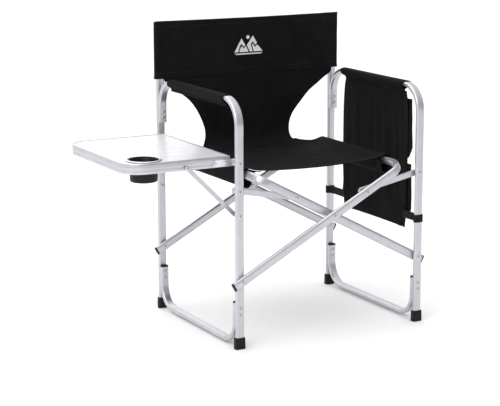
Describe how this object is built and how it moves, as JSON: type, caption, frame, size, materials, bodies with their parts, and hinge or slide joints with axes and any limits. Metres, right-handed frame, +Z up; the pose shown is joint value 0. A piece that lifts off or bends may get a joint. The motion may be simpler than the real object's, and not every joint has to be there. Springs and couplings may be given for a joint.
{
  "type": "folding director chair",
  "caption": "Folding aluminium director chair with fabric seat and back, crossed legs, a drop-down side table with cup holder and a hanging side organiser.",
  "frame": {"origin": "on the floor, under the middle of the object's box, table included", "axes": "+Z up, the chair faces -Y, +X to the right as seen from the front; the side table is on the -X side"},
  "size_m": [0.9154, 0.5268, 0.847],
  "materials": {
    "aluminium": "satin anodised",
    "steel_rivets": "plain zinc",
    "black_plastic": "matte moulded",
    "black_cloth": "matte woven polyester",
    "white_board": "satin laminate"
  },
  "bodies": {
    "left_frame": {"left_front_leg_and_arm": "aluminium", "left_rear_post": "aluminium", "left_floor_bar": "aluminium", "left_floor_bar_front_cap": "black_plastic", "left_front_foot": "black_plastic", "left_front_link_rivet": "steel_rivets", "left_front_pivot_rivet": "steel_rivets", "left_floor_bar_rear_cap": "black_plastic", "left_rear_foot": "black_plastic", "left_rear_link_rivet": "steel_rivets", "left_rear_pivot_rivet": "steel_rivets", "left_arm_rivet": "steel_rivets", "left_arm_sleeve": "black_cloth", "left_front_brace_stud": "steel_rivets", "left_rear_brace_stud": "steel_rivets", "table_front_hinge_rivet": "steel_rivets", "table_rear_hinge_rivet": "steel_rivets", "back_panel": "black_cloth", "lower_back": "black_cloth"},
    "seat_frame_a": {"seat_frame_a": "aluminium", "seat_frame_a_front_cap": "black_plastic", "seat_frame_a_rear_cap": "black_plastic", "front_crossing_rivet": "steel_rivets", "rear_crossing_rivet": "steel_rivets", "seat_cloth": "black_cloth"},
    "seat_frame_b": {"seat_frame_b": "aluminium", "seat_frame_b_front_cap": "black_plastic", "seat_frame_b_rear_cap": "black_plastic"},
    "right_frame": {"right_front_leg_and_arm": "aluminium", "right_rear_post": "aluminium", "right_floor_bar": "aluminium", "right_floor_bar_front_cap": "black_plastic", "right_front_foot": "black_plastic", "right_front_link_rivet": "steel_rivets", "right_front_pivot_rivet": "steel_rivets", "right_floor_bar_rear_cap": "black_plastic", "right_rear_foot": "black_plastic", "right_rear_link_rivet": "steel_rivets", "right_rear_pivot_rivet": "steel_rivets", "right_arm_rivet": "steel_rivets", "right_arm_sleeve": "black_cloth", "organiser_panel": "black_cloth", "organiser_upper_pouch": "black_cloth", "organiser_lower_pouch": "black_cloth", "organiser_front_strap": "black_cloth", "organiser_rear_strap": "black_cloth"},
    "left_front_link": {"left_front_link": "aluminium"},
    "left_rear_link": {"left_rear_link": "aluminium"},
    "right_front_link": {"right_front_link": "aluminium"},
    "right_rear_link": {"right_rear_link": "aluminium"},
    "side_table": {"table_rim": "aluminium", "table_board": "white_board", "cup_holder": "black_plastic", "table_front_bracket": "aluminium", "table_rear_bracket": "aluminium", "table_brace_rivet": "steel_rivets"},
    "table_brace": {"table_brace": "aluminium"}
  },
  "joints": [
    {"name": "frame_fold", "type": "hinge", "parent": "left_frame", "child": "seat_frame_a", "pos_m": [-0.14818, 0, 0.189], "axis": [0, -1, 0], "range_deg": [0, 41.5], "deforming": ["seat_cloth", "back_panel", "lower_back"]},
    {"name": "frame_crossing", "type": "hinge", "parent": "seat_frame_a", "child": "seat_frame_b", "pos_m": [0.13932, 0, 0.34204], "axis": [0, 1, 0], "range_deg": [0, 83]},
    {"name": "right_side_pivot", "type": "hinge", "parent": "seat_frame_b", "child": "right_frame", "pos_m": [0.42682, 0, 0.189], "axis": [0, -1, 0], "range_deg": [0, 41.5]},
    {"name": "left_front_link_pivot", "type": "hinge", "parent": "left_frame", "child": "left_front_link", "pos_m": [-0.14818, -0.241, 0.4332], "axis": [0, -1, 0], "range_deg": [0, 80]},
    {"name": "left_rear_link_pivot", "type": "hinge", "parent": "left_frame", "child": "left_rear_link", "pos_m": [-0.14818, 0.241, 0.4332], "axis": [0, -1, 0], "range_deg": [0, 80]},
    {"name": "right_front_link_pivot", "type": "hinge", "parent": "right_frame", "child": "right_front_link", "pos_m": [0.42682, -0.241, 0.4332], "axis": [0, 1, 0], "range_deg": [0, 80]},
    {"name": "right_rear_link_pivot", "type": "hinge", "parent": "right_frame", "child": "right_rear_link", "pos_m": [0.42682, 0.241, 0.4332], "axis": [0, 1, 0], "range_deg": [0, 80]},
    {"name": "table_fold", "type": "hinge", "parent": "left_frame", "child": "side_table", "pos_m": [-0.14818, 0, 0.51], "axis": [0, -1, 0], "range_deg": [0, 90]},
    {"name": "table_brace_pivot", "type": "hinge", "parent": "side_table", "child": "table_brace", "pos_m": [-0.28818, 0, 0.506], "axis": [0, 1, 0], "range_deg": [0, 135]}
  ],
  "couplings": [
    {"joint": "frame_crossing", "follows": "frame_fold", "ratio": 2},
    {"joint": "right_side_pivot", "follows": "frame_fold", "ratio": 1},
    {"joint": "left_front_link_pivot", "follows": "frame_fold", "ratio": 1.882},
    {"joint": "left_rear_link_pivot", "follows": "frame_fold", "ratio": 1.882},
    {"joint": "right_front_link_pivot", "follows": "frame_fold", "ratio": 1.882},
    {"joint": "right_rear_link_pivot", "follows": "frame_fold", "ratio": 1.882},
    {"joint": "table_brace_pivot", "follows": "table_fold", "ratio": 1.5}
  ]
}
